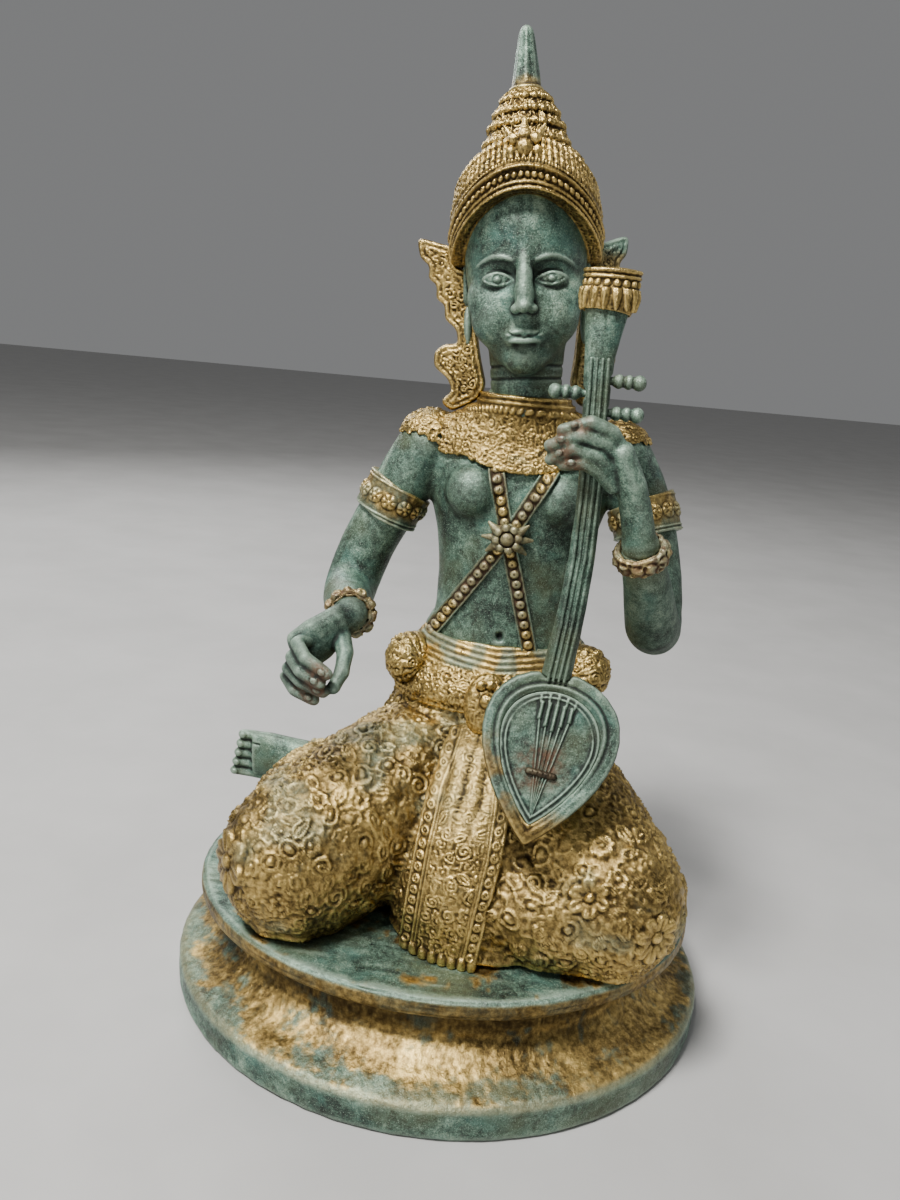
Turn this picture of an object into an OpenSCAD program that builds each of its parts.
// Seated musician playing a pear-shaped lute: a small bronze assembled from separate castings.
// Millimetres. +Z is up, the figure faces -Y, and the origin is the centre of the base on the floor.
// Right and left are the figure's own: its right hand plucks at -X, its left hand holds the neck at +X.

/* [Statue] */
// Height from the floor to the tip of the crown
statue_h = 250; // [180:5:320]
// Width of the oval plinth, on a statue 250 tall
base_w = 148; // [147:1:156]
// Depth of the oval plinth, on a statue 250 tall
base_d = 132; // [130:1:142]
// Lean of the head and crown towards the plucking hand, in degrees
head_lean = 5.9; // [5:0.1:6.5]
// Tilt of the head and crown backwards, in degrees
head_tilt = 2; // [1:0.5:3]

/* [Lute] */
// Width of the lute's bowl
bowl_w = 32; // [29:1:33]
// Length of the lute's bowl
bowl_l = 41; // [39:1:42]
// Depth of the lute's bowl from its rim to its back
bowl_depth = 9.5; // [8:0.5:10]
// Diameter of the ball on the end of each tuning peg
peg_ball_d = 3.4; // [2.8:0.2:4]

/* [Dress] */
// Thickness of the shoulder collar
collar_t = 1.6; // [1.2:0.1:2]
// Thickness of the crossed chest straps
strap_t = 1.2; // [0.9:0.1:1.4]
// Width of the crossed chest straps
strap_w = 4.2; // [3.2:0.2:5]
// Thickness of the armlets and bracelets
band_t = 1.5; // [1.2:0.1:1.8]

/* [Joints] */
// Radial gap between a tenon or bolt and its hole
joint_gap = 0.1; // [0.05:0.01:0.15]
// Diameter of the bolts that hold the figure's slab to the plinth
bolt_d = 4; // [3:0.5:5]
// Wall of the hollow plinth under its top
plinth_roof = 3; // [2.5:0.5:4]

/* [Hidden] */
nominal_h = 250;
plinth_h = 25;
slab_h = 5;
slab_top = plinth_h + slab_h;
figure_x = 9;
figure_y = 8;
neck_seat = [figure_x, 5, 167];
waist_z = 92;
oval_n = 44;
body_n = 26;
limb_n = 16;
finger_n = 8;
bolt_places = [[-34, -8], [38, -12], [8, 28]];
bronze = "#4f8f7d";
gilt = "#a88433";
worn_gilt = "#8f7440";
dark_bronze = "#3d3a2c";

// ---------- curves and skins ----------

function unit(v) = v / norm(v);

// A smooth curve through evenly spaced keys, each a list of numbers
function key_at(keys, t) =
    let (i = max(0, min(floor(t), len(keys) - 2)),
         f = t - i,
         a = keys[max(i - 1, 0)],
         b = keys[i],
         c = keys[i + 1],
         d = keys[min(i + 2, len(keys) - 1)])
    b + 0.5 * f * ((c - a) + f * (2 * a - 5 * b + 4 * c - d + f * (3 * b - a - 3 * c + d)));

function place_at(keys, t) = let (k = key_at(keys, t)) [k[0], k[1], k[2]];

function direction_at(keys, t) =
    unit(place_at(keys, min(t + 0.1, len(keys) - 1)) - place_at(keys, max(t - 0.1, 0)));

// An oval ring square to a direction; hint lies across the ring's half width
function oval_ring(centre, along, hint, half_w, half_t, n) =
    let (side = unit(cross(along, hint)), up = cross(along, side))
    [for (i = [0:n - 1]) centre + side * half_w * cos(360 * i / n) + up * half_t * sin(360 * i / n)];

function level_oval(cx, cy, z, rx, ry, n) =
    [for (i = [0:n - 1]) [cx + rx * cos(360 * i / n), cy + ry * sin(360 * i / n), z]];

// Rings of an upright form from keys [z, centre x, centre y, half width, half depth]
function stack(keys, steps, n, grow = 0) =
    [for (i = [0:(len(keys) - 1) * steps])
        let (k = key_at(keys, i / steps)) level_oval(k[1], k[2], k[0], k[3] + grow, k[4] + grow, n)];

// Rings of a limb from keys [x, y, z, half width, half thickness], with a dome of rings at either end
function limb(keys, steps, n, hint = [0, 0, 1], start_dome = 0, end_dome = 0, grow = 0) =
    let (last = len(keys) - 1,
         k0 = keys[0],
         k1 = keys[last],
         d0 = direction_at(keys, 0),
         d1 = direction_at(keys, last),
         dome_angles = [78, 55, 28])
    concat(
        start_dome == 0 ? [] :
            [for (a = dome_angles) oval_ring(place_at(keys, 0) - d0 * start_dome * sin(a), d0, hint,
                (k0[3] + grow) * cos(a), (k0[4] + grow) * cos(a), n)],
        [for (i = [0:last * steps]) let (t = i / steps, k = key_at(keys, t))
            oval_ring(place_at(keys, t), direction_at(keys, t), hint, k[3] + grow, k[4] + grow, n)],
        end_dome == 0 ? [] :
            [for (a = [28, 55, 78]) oval_ring(place_at(keys, last) + d1 * end_dome * sin(a), d1, hint,
                (k1[3] + grow) * cos(a), (k1[4] + grow) * cos(a), n)]);

// A closed solid through a list of rings with equal numbers of points
module skin(rings) {
    n = len(rings[0]);
    m = len(rings);
    polyhedron(
        points = [for (r = rings) each r],
        faces = concat(
            [[for (j = [0:n - 1]) j]],
            [[for (j = [n - 1:-1:0]) (m - 1) * n + j]],
            [for (i = [0:m - 2], j = [0:n - 1])
                let (a = i * n + j, b = i * n + (j + 1) % n) each [[a, a + n, b + n], [a, b + n, b]]]),
        convexity = 8);
}

// A closed band: the rings run up its outside and the last joins the first
module ring_skin(rings) {
    n = len(rings[0]);
    m = len(rings);
    polyhedron(
        points = [for (r = rings) each r],
        faces = [for (i = [0:m - 1], j = [0:n - 1])
            let (a = i * n + j, b = i * n + (j + 1) % n, c = (a + n) % (m * n), d = (b + n) % (m * n))
                each [[a, c, d], [a, d, b]]],
        convexity = 8);
}

// A free-form casting: its skin is one mesh, so bores are cut after it
module cast_skin() resize([0, 0, 0]) children();

module real_size() scale(statue_h / nominal_h) children();

module above(z) intersection() {
    children();
    translate([-200, -200, z]) cube([400, 400, 400]);
}

// ---------- plinth and slab ----------

// The plinth's walls as [height, inset from the widest oval]
plinth_outside = [[0, 0.8], [0.8, 0], [8, 0], [9.4, 1.5], [9.9, 3], [10.8, 6.4], [12.4, 9.8],
    [14.4, 12.4], [16, 14.4], [plinth_h, 14.4]];
plinth_inside = [[0, 5], [7, 8], [14, 17.5], [plinth_h - plinth_roof, 18.5]];
slab_edge = [[plinth_h, 0.9], [plinth_h + 0.9, 0], [slab_top - 0.9, 0], [slab_top, 0.9]];
slab_inset = 9.6;
slab_inset_x = 5.3;

function plinth_rings(profile) =
    [for (p = profile) level_oval(0, 0, p[0], base_w / 2 - p[1], base_d / 2 - p[1], oval_n)];

module bolt_holes(d, z, h) for (p = bolt_places) translate([p[0], p[1], z])
    cylinder(d = d, h = h, $fn = 32);

module base_plinth() color(worn_gilt) real_size() difference() {
    cup_skin(plinth_rings(plinth_outside), plinth_rings(plinth_inside));
    bolt_holes(bolt_d + 0.6, plinth_h - plinth_roof - 1, plinth_roof + 2);
}

// A cup open at the bottom: outer and inner rings both run upwards from the same floor
module cup_skin(outer, inner) {
    n = len(outer[0]);
    mo = len(outer);
    mi = len(inner);
    o = mo * n;
    polyhedron(
        points = concat([for (r = outer) each r], [for (r = inner) each r]),
        faces = concat(
            [[for (j = [n - 1:-1:0]) (mo - 1) * n + j]],
            [[for (j = [0:n - 1]) o + (mi - 1) * n + j]],
            [for (j = [0:n - 1]) let (k = (j + 1) % n) each [[j, k, o + k], [j, o + k, o + j]]],
            [for (i = [0:mo - 2], j = [0:n - 1])
                let (a = i * n + j, b = i * n + (j + 1) % n) each [[a, a + n, b + n], [a, b + n, b]]],
            [for (i = [0:mi - 2], j = [0:n - 1])
                let (a = o + i * n + j, b = o + i * n + (j + 1) % n)
                    each [[a, b, b + n], [a, b + n, a + n]]]),
        convexity = 6);
}

module base_slab() color(bronze) real_size() difference() {
    skin([for (p = slab_edge)
        level_oval(0, 0, p[0], base_w / 2 - slab_inset_x - p[1], base_d / 2 - slab_inset - p[1], oval_n)]);
    bolt_holes(bolt_d + 2 * joint_gap, plinth_h - 1, slab_h);
}

bolt_head_h = 2.6;

bolt_slot_w = 1;
bolt_slot_depth = 1.2;

module base_bolt() difference() {
    union() {
        translate([0, 0, -bolt_head_h]) cylinder(d = bolt_d * 2, h = bolt_head_h, $fn = 32);
        translate([0, 0, -0.5]) cylinder(d = bolt_d, h = plinth_roof + slab_h - 1, $fn = 32);
    }
    translate([-bolt_d, -bolt_slot_w / 2, -bolt_head_h - 1])
        cube([bolt_d * 2, bolt_slot_w, bolt_slot_depth + 1]);
}

module base_bolts() color(dark_bronze) real_size() for (p = bolt_places)
    translate([p[0], p[1], plinth_h - plinth_roof]) base_bolt();

// ---------- sarong: hips, folded legs, apron ----------

hips_keys = [[slab_top, 4, 14, 45, 33], [38, 4, 13, 46.5, 34], [50, 4, 11.5, 42, 31.5],
    [62, 5.5, 10, 35, 27.5], [74, 7.5, 9, 30, 23.5], [84, 8.6, 8, 27, 20.5], [waist_z, 9, 8, 24.5, 17.5]];
right_thigh = [[4, 8, 60, 22, 25], [-12, -8, 57, 22, 25], [-26, -21, 51, 20, 23.2],
    [-37, -31, 46, 18.7, 21.2]];
right_shin = [[-38, -24, 46, 15, 16], [-41, -6, 46, 14.5, 15.5], [-40, 12, 45.5, 13, 14],
    [-41, 24, 45, 10, 10.5], [-46, 30, 45, 7.5, 8.6]];
left_thigh = [[12, 8, 60, 22, 25], [25, -8, 56.5, 22, 25], [36, -21, 50.5, 20, 23],
    [44, -29.5, 45, 18.5, 21]];
left_shin = [[44, -27, 42.5, 18.5, 16.5], [27, -27, 42.5, 18.5, 17], [10, -24, 42, 16, 15]];

// The cloth stretched over the lap, from the belly down to the front of the slab
lap_keys = [[8, 4, 66, 21, 20], [8.5, -10, 61, 21.5, 19], [9.5, -21, 50, 21.5, 18.5],
    [10, -25.5, 38, 21.5, 17], [10, -26.5, 26, 21.5, 16]];

module lap_form(grow = 0) above(slab_top) skin(limb(lap_keys, 2, body_n, grow = grow));

module hips_form() {
    skin(stack(hips_keys, 1, body_n));
    lap_form();
}

module right_leg_form() above(slab_top) union() {
    skin(limb(right_thigh, 2, body_n, start_dome = 10, end_dome = 18));
    skin(limb(right_shin, 2, limb_n, start_dome = 8));
}

module left_leg_form() above(slab_top) union() {
    skin(limb(left_thigh, 2, body_n, start_dome = 10, end_dome = 18));
    skin(limb(left_shin, 2, body_n, start_dome = 12));
}

module sarong_hips() color(gilt) real_size() difference() {
    cast_skin() hips_form();
    tenon_bore([figure_x, figure_y, waist_z], torso_tenon_d, torso_tenon_h);
}

module sarong_right_leg() color(gilt) real_size() cast_skin() difference() {
    right_leg_form();
    hips_form();
}

module sarong_left_leg() color(gilt) real_size() cast_skin() difference() {
    left_leg_form();
    hips_form();
    right_leg_form();
}

// The hanging panel: its outline across X and up Z, wrapped over the lap
apron_outline = [[-8, 29], [-7, 45], [-6, 58], [-4.5, 70], [-1, 82], [2, 92], [15, 92], [16, 80], [16.5, 68],
    [16, 58], [14, 45], [12, 29]];
apron_t = 1.6;

module apron_form() intersection() {
    lap_form(apron_t);
    rotate([90, 0, 0]) linear_extrude(70) polygon(apron_outline);
}

module apron_panel() color(gilt) real_size() cast_skin() difference() {
    apron_form();
    hips_form();
    right_leg_form();
    left_leg_form();
}

// The bare foot lies on its edge, with its toes one above the other
foot_keys = [[-41, 29.5, 45, 6.2, 6.4], [-48, 30, 45, 5.2, 6.4], [-55, 30.6, 45, 4.4, 7],
    [-61, 31, 45, 4, 7.6], [-66, 31.2, 44.8, 3.4, 7.6]];
toe_gap = 3.2;

module toe(i) {
    z = 51 - toe_gap * i;
    x = -66.5 - 0.6 * i;
    skin(limb([[-62, 31.4, z - 0.6, 2.2, 1.7], [x, 31.6, z - 0.2, 2, 1.6], [x - 3.4, 31, z, 1.8, 1.55]],
        1, finger_n, start_dome = 1, end_dome = 1.6));
}

module right_foot() color(bronze) real_size() cast_skin() difference() {
    union() {
        skin(limb(foot_keys, 1, limb_n));
        for (i = [0:4]) toe(i);
    }
    right_leg_form();
    hips_form();
}

// ---------- torso and its dress ----------

torso_keys = [[waist_z, figure_x, figure_y, 21.5, 15], [100, 9.6, 8, 20.5, 14], [108, 10, 8, 19.7, 13.2],
    [118, 10.2, 8, 19.8, 13], [128, 10, 8, 21, 13.6], [138, 9.9, 8.2, 23.5, 14.2], [147, 9.7, 8.8, 26, 13.2],
    [153.5, 10, 9.2, 26, 11], [158.5, 10.3, 8.5, 19.5, 9.6], [162.5, 9.6, 6.6, 11.5, 8.9],
    [167, 9, 5.3, 8.4, 8.4]];
tenon_foot_gap = 0.3;
torso_tenon_d = 12;
torso_tenon_h = 8;
neck_tenon_d = 7;
neck_tenon_h = 7;
hand_tenon_d = 3;
hand_tenon_h = 3.5;
chest_r = 7.2;
chest_places = [[-1.5, -1.2, 140.5], [20.5, -1.2, 140.5]];

// An upright tenon hanging below a seat, and the bore that takes it with a little room at its foot
module tenon(seat, d, h) translate(seat - [0, 0, h]) cylinder(d = d, h = h + 1, $fn = 32);

module tenon_bore(seat, d, h) translate(seat - [0, 0, h + tenon_foot_gap])
    cylinder(d = d + 2 * joint_gap, h = h + 2, $fn = 32);

module torso_form(grow = 0) {
    skin(stack(torso_keys, 1, body_n, grow));
    for (p = chest_places) translate(p) sphere(r = chest_r + grow, $fn = 20);
}

right_arm_keys = [[-14.5, 8.6, 150.5, 8.8, 8.4], [-19.5, 8, 142, 8.1, 7.9], [-24.3, 7.2, 132.5, 7.8, 7.5],
    [-29.3, 6.8, 122, 7.6, 7.4], [-32.3, 4, 112, 7.2, 7.2], [-31.5, -6, 109.5, 6.5, 6.6],
    [-29, -16, 110.2, 5.3, 5.4], [-27.2, -23.5, 110.5, 4.3, 4.4]];
left_arm_keys = [[34.5, 8.6, 152, 8.8, 8.4], [40, 7.6, 144, 8.1, 7.9], [44, 5.2, 134.5, 7.8, 7.5],
    [47.2, 1.5, 122, 7.6, 7.3], [48.4, -3.5, 111.5, 7.2, 7.1], [46.6, -12, 112.8, 6.9, 6.8],
    [43, -20, 125, 5.7, 5.8], [39.2, -26, 135.5, 4.4, 4.6]];
// Each arm bends in a plane of its own: these lie square to the two planes
right_arm_hint = [0.8, 0.17, -0.5];
left_arm_hint = [0.87, 0.07, 0.5];

module arm_form(keys, hint, grow = 0) skin(limb(keys, 2, limb_n, hint = hint, start_dome = 8, grow = grow));

module right_arm_form() arm_form(right_arm_keys, right_arm_hint);

module left_arm_form() arm_form(left_arm_keys, left_arm_hint);

module arm_shoulder(keys, grow) translate(place_at(keys, 0)) sphere(r = 7.7 + grow, $fn = 20);

module torso() color(bronze) real_size() difference() {
    union() {
        cast_skin() torso_form();
        tenon([figure_x, figure_y, waist_z], torso_tenon_d, torso_tenon_h);
    }
    tenon_bore(neck_seat, neck_tenon_d, neck_tenon_h);
}

module arm_casting(keys) difference() {
    cast_skin() difference() {
        children();
        torso_form();
    }
    hand_joint(keys) cylinder(d = hand_tenon_d + 2 * joint_gap, h = hand_tenon_h + tenon_foot_gap, $fn = 24);
}

// Stands the children on the wrist's cut face, pointing back up the forearm
module hand_joint(keys) {
    last = len(keys) - 1;
    d = direction_at(keys, last);
    translate(place_at(keys, last)) rotate([0, acos(-d[2]), atan2(-d[1], -d[0])]) children();
}

module right_arm() color(bronze) real_size() arm_casting(right_arm_keys) right_arm_form();

module left_arm() color(bronze) real_size() arm_casting(left_arm_keys) left_arm_form();

// Front and back outlines of the collar, across X and up Z
collar_front = [[-40, 170], [-40, 160], [-24, 152.5], [-13, 148.8], [-5, 149.2], [0, 147.6], [5, 146.4],
    [figure_x + 3, 146], [18, 147.2], [24, 149.2], [33, 150], [45, 154.5], [60, 161], [60, 170]];
collar_back = [[-40, 170], [-40, 159], [-24, 151.5], [-8, 148], [figure_x, 144], [27, 148.5], [45, 153.5],
    [60, 160], [60, 170]];
collar_top = 165.5;

// Prisms along Y, before and behind the middle of the torso
module prism(outline) rotate([90, 0, 0]) linear_extrude(60) polygon(outline);

module front_prism(outline) translate([0, figure_y, 0]) prism(outline);

module back_prism(outline) translate([0, figure_y + 60, 0]) prism(outline);

module collar() color(gilt) real_size() cast_skin() difference() {
    intersection() {
        union() {
            torso_form(collar_t);
            arm_shoulder(right_arm_keys, collar_t);
            arm_shoulder(left_arm_keys, collar_t);
        }
        union() {
            front_prism(collar_front);
            back_prism(collar_back);
        }
        translate([-60, -60, 100]) cube([160, 160, collar_top - 100]);
    }
    torso_form();
    right_arm_form();
    left_arm_form();
}

brooch_x = 8.5;
brooch_z = 130;
strap_ends = [[2.5, 152], [20, 152], [-12, 98], [18.5, 96]];

module strap_outline(grow = 0) for (e = strap_ends) hull() {
    translate([brooch_x, brooch_z]) circle(d = strap_w + grow, $fn = 24);
    translate(e) circle(d = strap_w + grow, $fn = 24);
}

module chest_straps() color(gilt) real_size() cast_skin() difference() {
    intersection() {
        torso_form(strap_t);
        translate([0, 60, 0]) rotate([90, 0, 0]) linear_extrude(120) strap_outline();
        translate([-60, -60, 98]) cube([160, 160, 52]);
    }
    torso_form();
    front_prism(collar_front);
    back_prism(collar_back);
    right_arm_form();
    left_arm_form();
}

brooch_d = 8;

module chest_brooch() color(gilt) real_size() cast_skin() difference() {
    translate([brooch_x, -1, brooch_z]) rotate([90, 0, 0]) union() {
        cylinder(d = brooch_d, h = 7, $fn = 32);
        translate([0, 0, 7]) scale([1, 1, 0.5]) sphere(d = 5, $fn = 24);
    }
    torso_form();
    chest_strap_bulk();
}

// The ground that the brooch sits on: the straps under it
module chest_strap_bulk() intersection() {
    torso_form(strap_t);
    translate([0, 60, 0]) rotate([90, 0, 0]) linear_extrude(120) strap_outline();
}

belt_keys = [[83.5, 8.6, 8, 27.4, 21], [86.5, 8.8, 8, 29, 22.2], [90, 9, 8, 28.4, 21.4],
    [94, 9.2, 8, 26, 18.8], [98, 9.5, 8, 24, 16.9], [101.5, 9.6, 8, 21.5, 14.9]];

module belt_form() skin(stack(belt_keys, 1, body_n));

module belt() color(gilt) real_size() cast_skin() difference() {
    belt_form();
    hip_roll_form(-1);
    hip_roll_form(1);
    hips_form();
    torso_form();
    right_leg_form();
    left_leg_form();
    apron_form();
}

buckle_place = [7.7, -14, 87.5];

module buckle_form() translate(buckle_place) rotate([75, 0, 0]) scale([1, 1.4, 0.5]) sphere(d = 12, $fn = 24);

module belt_buckle() color(gilt) real_size() cast_skin() difference() {
    buckle_form();
    belt_form();
    hips_form();
    apron_form();
    right_leg_form();
    left_leg_form();
}

// A gathered end of the hip sash, bunched over the belt
module hip_roll_form(side) translate([figure_x + side * 23.3, 1, 93.8 + side * 0.7])
    rotate([0, side * 15, side * 25]) scale([0.75, 1, 0.85]) sphere(d = 16.5, $fn = 20);

module hip_roll(side) cast_skin() difference() {
    hip_roll_form(side);
    hips_form();
    torso_form();
    right_leg_form();
    left_leg_form();
    chest_strap_bulk();
}

module right_hip_roll() color(gilt) real_size() hip_roll(-1);

module left_hip_roll() color(gilt) real_size() hip_roll(1);

// ---------- bands on the arms ----------

armlet_t0 = 1.35;
armlet_t1 = 2.2;
bracelet_t0 = 6.5;
bracelet_t1 = 7;

function band_rings(keys, hint, t0, t1, grow) =
    [for (i = [0:3]) let (t = t0 + (t1 - t0) * i / 3, k = key_at(keys, t))
        oval_ring(place_at(keys, t), direction_at(keys, t), hint, k[3] + grow, k[4] + grow, limb_n)];

module band(keys, hint, t0, t1) cast_skin() difference() {
    skin(band_rings(keys, hint, t0, t1, band_t));
    arm_form(keys, hint);
    torso_form();
}

module right_armlet() color(gilt) real_size() band(right_arm_keys, right_arm_hint, armlet_t0, armlet_t1);

module left_armlet() color(gilt) real_size() band(left_arm_keys, left_arm_hint, armlet_t0, armlet_t1);

module right_bracelet() color(gilt) real_size()
    band(right_arm_keys, right_arm_hint, bracelet_t0, bracelet_t1);

module left_bracelet() color(gilt) real_size() band(left_arm_keys, left_arm_hint, bracelet_t0, bracelet_t1);

// ---------- hands ----------

module finger(places, r0, r1) skin(limb([for (i = [0:len(places) - 1])
    let (r = r0 + (r1 - r0) * i / (len(places) - 1)) concat(places[i], [r, r])], 1, finger_n,
    hint = [0.2, 0.3, 0.93], end_dome = r1));

right_palm = [[-27.55, -22, 110.4, 3.6, 4], [-30, -26.8, 108.4, 3.6, 5], [-33.5, -30, 105.5, 3.5, 5.9],
    [-37, -32.4, 102.6, 3, 5.8]];
right_fingers = [[[-34, -31, 106], [-37, -36.5, 106], [-34, -40.5, 104], [-28.5, -42, 101.3]],
    [[-35.5, -31.5, 103.5], [-38, -37, 102.6], [-35, -40.8, 101], [-30, -41.8, 98.8]],
    [[-36.3, -31.5, 101], [-39, -36, 99.4], [-35, -39.3, 97.8], [-29.5, -40.3, 96.2]],
    [[-36.5, -31, 98.8], [-40, -34, 96.4], [-37, -37.2, 94.8], [-32, -38.4, 93.3]]];
right_thumb = [[-28.5, -27.5, 106.5], [-26.4, -32, 103.3], [-26.2, -36, 99.8], [-27.4, -38.6, 97]];

left_palm = [[39.2, -26, 135.5, 4.2, 3.6], [37.6, -27.3, 142, 4.4, 3.4], [35.4, -28.2, 149, 4.9, 3.4],
    [32, -28.4, 156.5, 4.4, 3]];
left_fingers = [[[33, -27.5, 155], [29.5, -30.5, 160.5], [24.8, -32, 162.4], [18.8, -31, 160]],
    [[33, -28, 152.5], [28.6, -31, 158], [23, -32.5, 159.4], [16.4, -30.8, 156.4]],
    [[32.5, -28.5, 150], [27, -31.3, 155], [21.5, -32.4, 156.4], [16.9, -30.6, 153.4]],
    [[32, -28.5, 148], [27.5, -30.8, 152], [24, -32, 153.4], [19.8, -31.4, 152.6]]];
left_thumb = [[34, -26.4, 147], [31.8, -21.6, 153.5], [28, -19.8, 159], [24.6, -20.2, 162]];

module hand(palm, fingers, thumb) difference() {
    union() {
        skin(limb(palm, 1, limb_n, end_dome = 2));
        for (f = fingers) finger(f, 2.1, 1.6);
        finger(thumb, 2.5, 1.8);
    }
    children();
}

module hand_tenon(keys) hand_joint(keys) translate([0, 0, -1])
    cylinder(d = hand_tenon_d, h = hand_tenon_h + 1, $fn = 24);

module right_hand() color(bronze) real_size() union() {
    cast_skin() hand(right_palm, right_fingers, right_thumb) right_arm_form();
    hand_tenon(right_arm_keys);
}

module left_hand() color(bronze) real_size() union() {
    cast_skin() hand(left_palm, left_fingers, left_thumb) union() {
        left_arm_form();
        neck_form(string_d * 0.65);
    }
    hand_tenon(left_arm_keys);
}

// ---------- head and crown, in a frame that leans with the head ----------

module head_frame() translate(neck_seat) rotate([-head_tilt, -head_lean, 0]) children();

crown_seat = 46;
crown_tenon_d = 10;
crown_tenon_h = 5;
finial_seat = 69;
finial_tenon_d = 3;
finial_tenon_h = 5;
// Length of the leaning axis from the neck's seat to the tip of the crown
tip_w = (nominal_h - neck_seat[2] - 0.02) / cos(head_lean) / cos(head_tilt);
// Keys [height, centre x, centre y, half width, half depth], from the chin up to the seat of the crown
head_keys = [[3.4, 0, -9.2, 2.6, 2.6], [6, 0, -7.8, 6.4, 6.2], [10, 0, -5.4, 9.6, 9.8],
    [15, 0, -3.2, 12.3, 13], [22, 0, -1.6, 14.2, 15.2], [30, 0, -1, 15.1, 16.3], [38, 0, -0.6, 15.2, 16.6],
    [crown_seat, 0, -0.4, 14.1, 14.8]];
neck_keys = [[0, 0, 0, 8.4, 8.4], [4, 0, 0.2, 7.8, 8], [9, 0, 0.8, 7.8, 8.4], [16, 0, 2, 8.6, 9.6]];

module head_form(grow = 0) {
    skin(stack(head_keys, 1, body_n, grow));
    skin(stack(neck_keys, 1, limb_n, grow));
}

nose_keys = [[0, -16.2, 31, 1.4, 1.6], [0, -17.2, 26, 1.6, 2], [0, -18, 21.4, 2.2, 2.4],
    [0, -17, 19.6, 2, 1.8]];

module nose_form() skin(limb(nose_keys, 2, finger_n, hint = [0, 1, 0.2], start_dome = 1, end_dome = 1));

module head() color(bronze) real_size() difference() {
    union() {
        cast_skin() difference() {
            head_frame() {
                head_form();
                nose_form();
            }
            torso_form();
        }
        tenon(neck_seat, neck_tenon_d, neck_tenon_h);
    }
    head_frame() translate([0, 0, crown_seat - crown_tenon_h - tenon_foot_gap])
        cylinder(d = crown_tenon_d + 2 * joint_gap, h = 20, $fn = 32);
}

ear_outline = [[-14, 33], [-18, 35], [-22, 36.2], [-27.7, 38], [-26.8, 32.5], [-24.2, 30.6], [-25, 27.4],
    [-22.4, 26], [-23, 22.4], [-20.4, 21], [-20.8, 17.6], [-17.6, 14.8], [-17, 11], [-20.4, 11.6],
    [-23.6, 9.6], [-23.8, 5.6], [-20.4, 3], [-18.8, -0.6], [-22.6, -3], [-18.6, -6.4], [-12.4, -4.6],
    [-10, 1], [-11.4, 8], [-12.4, 16], [-13, 24]];
ear_t = 4;
ear_y = 3;
ear_hinge_x = 12;

// A flame plate beside the cheek, swept back about its inner edge
module ear_ornament(side, sweep) cast_skin() difference() {
    head_frame() mirror([side > 0 ? 1 : 0, 0, 0]) translate([-ear_hinge_x, ear_y + ear_t / 2, 0])
        rotate([0, 0, -sweep]) translate([ear_hinge_x, 0, 0]) rotate([90, 0, 0])
            linear_extrude(ear_t) polygon(ear_outline);
    head_frame() head_form();
    head_frame() diadem_form();
    torso_form(collar_t);
}

module right_ear_ornament() color(gilt) real_size() ear_ornament(-1, 8);

module left_ear_ornament() color(gilt) real_size() ear_ornament(1, 38);

// The band rises over the forehead and drops behind the ears
diadem_rx = 18.9;
diadem_ry = 19.6;
diadem_n = 30;
function front_share(a) = pow(max(0, -sin(a)), 1.4);
function diadem_foot(a) = 30 + 13.2 * front_share(a) - 2 * max(0, sin(a));
function diadem_height(a) = 15 - 3 * front_share(a);

function diadem_ring(share, inset) =
    [for (i = [0:diadem_n - 1]) let (a = 360 * i / diadem_n)
        [(diadem_rx - inset) * cos(a), (diadem_ry - inset) * sin(a) - 0.5,
            diadem_foot(a) + share * diadem_height(a)]];

diadem_inner = 5;

module diadem_form() ring_skin([diadem_ring(0, diadem_inner), diadem_ring(0, 1.4), diadem_ring(0.06, 0.3),
    diadem_ring(0.52, 0), diadem_ring(0.6, 0.8), diadem_ring(0.82, 1.5), diadem_ring(1, 2.5),
    diadem_ring(1, diadem_inner)]);

module diadem() color(gilt) real_size() cast_skin() difference() {
    head_frame() diadem_form();
    head_frame() head_form();
    head_frame() crown_solid();
}

crown_outline = [[0, crown_seat], [15.6, crown_seat], [15.2, 50], [14, 52.6], [11.4, 55], [10.2, 56.2],
    [10.4, 57.2], [9.6, 58.2], [9.2, 59.6], [9.3, 60.6], [8.4, 61.6], [7.8, 62.8], [7.9, 63.8], [7, 64.8],
    [6.2, 66], [6.1, 66.8], [5, 68], [4.4, finial_seat], [0, finial_seat]];

module crown_solid() rotate_extrude($fn = 36) polygon(crown_outline);

module crown_cone() color(gilt) real_size() head_frame() difference() {
    union() {
        crown_solid();
        translate([0, 0, crown_seat - crown_tenon_h])
            cylinder(d = crown_tenon_d, h = crown_tenon_h + 1, $fn = 32);
    }
    translate([0, 0, finial_seat - finial_tenon_h - tenon_foot_gap])
        cylinder(d = finial_tenon_d + 2 * joint_gap, h = 10, $fn = 24);
}

finial_outline = [[0, finial_seat], [3.8, finial_seat], [3.4, finial_seat + 1.6], [2.9, finial_seat + 5],
    [2.4, finial_seat + 8.4], [1.9, finial_seat + 11.4], [1.5, tip_w - 1.4], [1, tip_w - 0.5], [0, tip_w]];

module crown_finial() color(bronze) real_size() head_frame() {
    rotate_extrude($fn = 32) polygon(finial_outline);
    translate([0, 0, finial_seat - finial_tenon_h])
        cylinder(d = finial_tenon_d, h = finial_tenon_h + 1, $fn = 24);
}

// ---------- lute ----------

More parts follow.
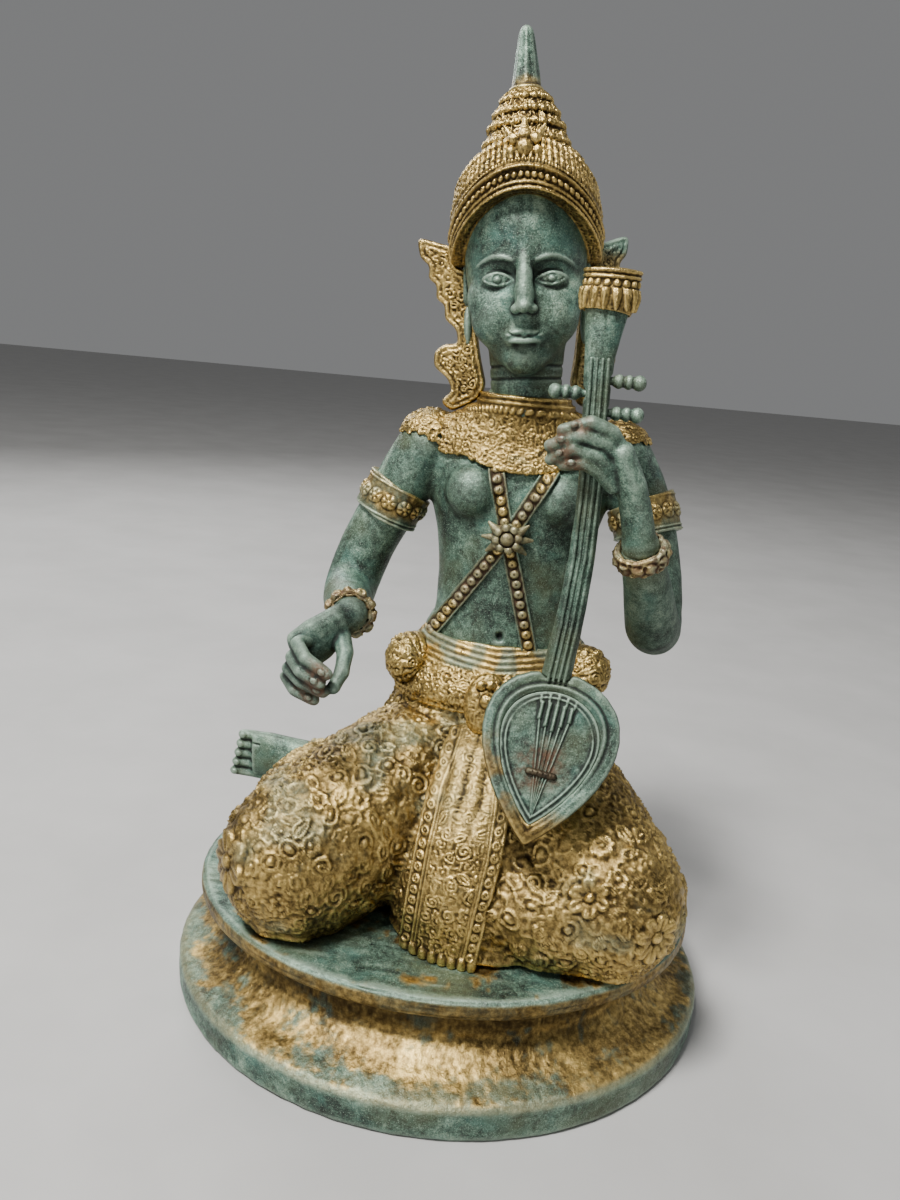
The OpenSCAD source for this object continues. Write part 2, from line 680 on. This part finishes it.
lute_place = [22.9, -40.5, 86.3];
lute_turn = [68, 0, 0];
lute_roll = -8;
rim_w = 4.5;
recess_depth = 1.6;
lute_neck_keys = [[23.6, -31.5, 103, 3.7, 2.9], [25.2, -29.8, 116, 3.4, 2.6], [26.4, -28, 132, 3.1, 2.4],
    [26.4, -26.6, 148, 2.9, 2.4], [25.8, -25.2, 162, 3, 2.4], [25.2, -23.6, 176, 3.5, 2.5],
    [25.7, -21.8, 187, 5.1, 2.9], [26, -20.6, 194, 5.7, 3.1]];

// Half outline of the pear: pointed at the foot, round at the shoulders
function pear(w, l, n = 32) = [for (i = [0:n - 1]) let (a = 360 * i / n)
    [w / 2 / 0.785 * sin(a) * pow(abs(sin(a / 2)), 0.9), -l / 2 * cos(a)]];

soundboard_t = 1;

module soundboard_outline(gap) polygon(pear(bowl_w - 2 * rim_w - gap, bowl_l - 2.2 * rim_w - gap));

module lute_frame() translate(lute_place) rotate(lute_turn) rotate([0, 0, lute_roll]) children();

function bowl_ring(depth, share) = [for (p = pear(bowl_w * share, bowl_l * share)) [p[0], p[1], -depth]];

// Rings of the bowl from its back to its rim, as [share of the depth, share of the outline]
bowl_profile = [[1, 0.4], [0.93, 0.66], [0.75, 0.85], [0.5, 0.96], [0.28, 1], [0.07, 1], [0, 0.96]];

module bowl_form() skin([for (p = bowl_profile) bowl_ring(bowl_depth * p[0], p[1])]);

module neck_form(grow = 0) skin(limb(lute_neck_keys, 2, limb_n, hint = [0, -1, 0.1], grow = grow));

module lute_bowl() color(bronze) real_size() cast_skin() difference() {
    lute_frame() difference() {
        bowl_form();
        translate([0, 0, -recess_depth]) linear_extrude(5) soundboard_outline(0);
    }
    neck_form();
    apron_form();
    right_leg_form();
    left_leg_form();
    belt_form();
    buckle_form();
}

module lute_soundboard() color(bronze) real_size() lute_frame() translate([0, 0, -recess_depth + 0.05])
    linear_extrude(soundboard_t) soundboard_outline(0.2);

module lute_neck() color(bronze) real_size() difference() {
    cast_skin() difference() {
        neck_form();
        torso_form();
    }
    peg_holes();
}

string_gap = 1.25;
string_d = 0.7;

module strings_form() for (i = [-1.5:1:1.5])
    skin(limb([for (k = [0:5]) let (q = lute_neck_keys[k])
        [q[0] + i * string_gap, q[1] - q[4] - 0.05, q[2], string_d / 2, string_d / 2]],
        1, 8, hint = [0, -1, 0.1]));

module lute_strings() color(bronze) real_size() cast_skin() difference() {
    strings_form();
    neck_form();
}

module lute_bridge() color(dark_bronze) real_size() lute_frame() translate([-3.2, -4.5, -recess_depth + 1.05])
    cube([6.4, 2, 1.3]);

head_collar_keys = [[25.5, -22.2, 185.5, 5.6, 3.8], [25.8, -21.5, 189, 6.6, 4.4], [26, -21, 191.6, 6.2, 4],
    [26, -20.6, 194.6, 6.6, 4.4]];

module lute_head_collar() color(gilt) real_size() cast_skin() difference() {
    skin(limb(head_collar_keys, 2, limb_n, hint = [0, -1, 0.1]));
    neck_form();
}

// A tuning peg along +X: a plain shank in the neck, then two beads and a ball
peg_shank_d = 1.8;
peg_shank_l = 2.4;
peg_bead_places = [1.4, 3.5];
peg_bead_r = 1.1;
// The ball starts where the second bead ends, at any size
peg_ball_x = peg_bead_places[1] + peg_bead_r * sin(60) + peg_ball_d / 2 * sin(52);
peg_left_place = [22.1, -24.4, 168];
peg_upper_right_place = [28.7, -24, 171.2];
peg_lower_right_place = [29, -24.8, 164.2];

module peg_shank(gap) translate([-peg_shank_l - gap, 0, 0]) rotate([0, 90, 0])
    cylinder(d = peg_shank_d + 2 * gap, h = peg_shank_l + 1, $fn = 24);

module peg() {
    rotate([0, 90, 0]) rotate_extrude($fn = 24) polygon(concat([[0, 0], [1.1, 0]],
        [for (c = peg_bead_places) each [for (a = [-60:40:60]) [0.9 + 0.7 * cos(a), c + peg_bead_r * sin(a)]]],
        [for (a = [-50:28:90]) [peg_ball_d / 2 * cos(a), peg_ball_x + peg_ball_d / 2 * sin(a)]]));
    peg_shank(0);
}

module peg_holes() {
    translate(peg_left_place) mirror([1, 0, 0]) peg_shank(joint_gap);
    translate(peg_upper_right_place) peg_shank(joint_gap);
    translate(peg_lower_right_place) peg_shank(joint_gap);
}

module lute_peg_left() color(bronze) real_size() translate(peg_left_place) mirror([1, 0, 0]) peg();

module lute_peg_upper_right() color(bronze) real_size() translate(peg_upper_right_place) peg();

module lute_peg_lower_right() color(bronze) real_size() translate(peg_lower_right_place) peg();

base_plinth();
base_slab();
base_bolts();
sarong_hips();
sarong_right_leg();
sarong_left_leg();
apron_panel();
right_foot();
torso();
collar();
chest_straps();
chest_brooch();
belt();
belt_buckle();
right_hip_roll();
left_hip_roll();
right_arm();
left_arm();
right_armlet();
left_armlet();
right_bracelet();
left_bracelet();
right_hand();
left_hand();
head();
right_ear_ornament();
left_ear_ornament();
diadem();
crown_cone();
crown_finial();
lute_bowl();
lute_soundboard();
lute_neck();
lute_head_collar();
lute_strings();
lute_bridge();
lute_peg_left();
lute_peg_upper_right();
lute_peg_lower_right();
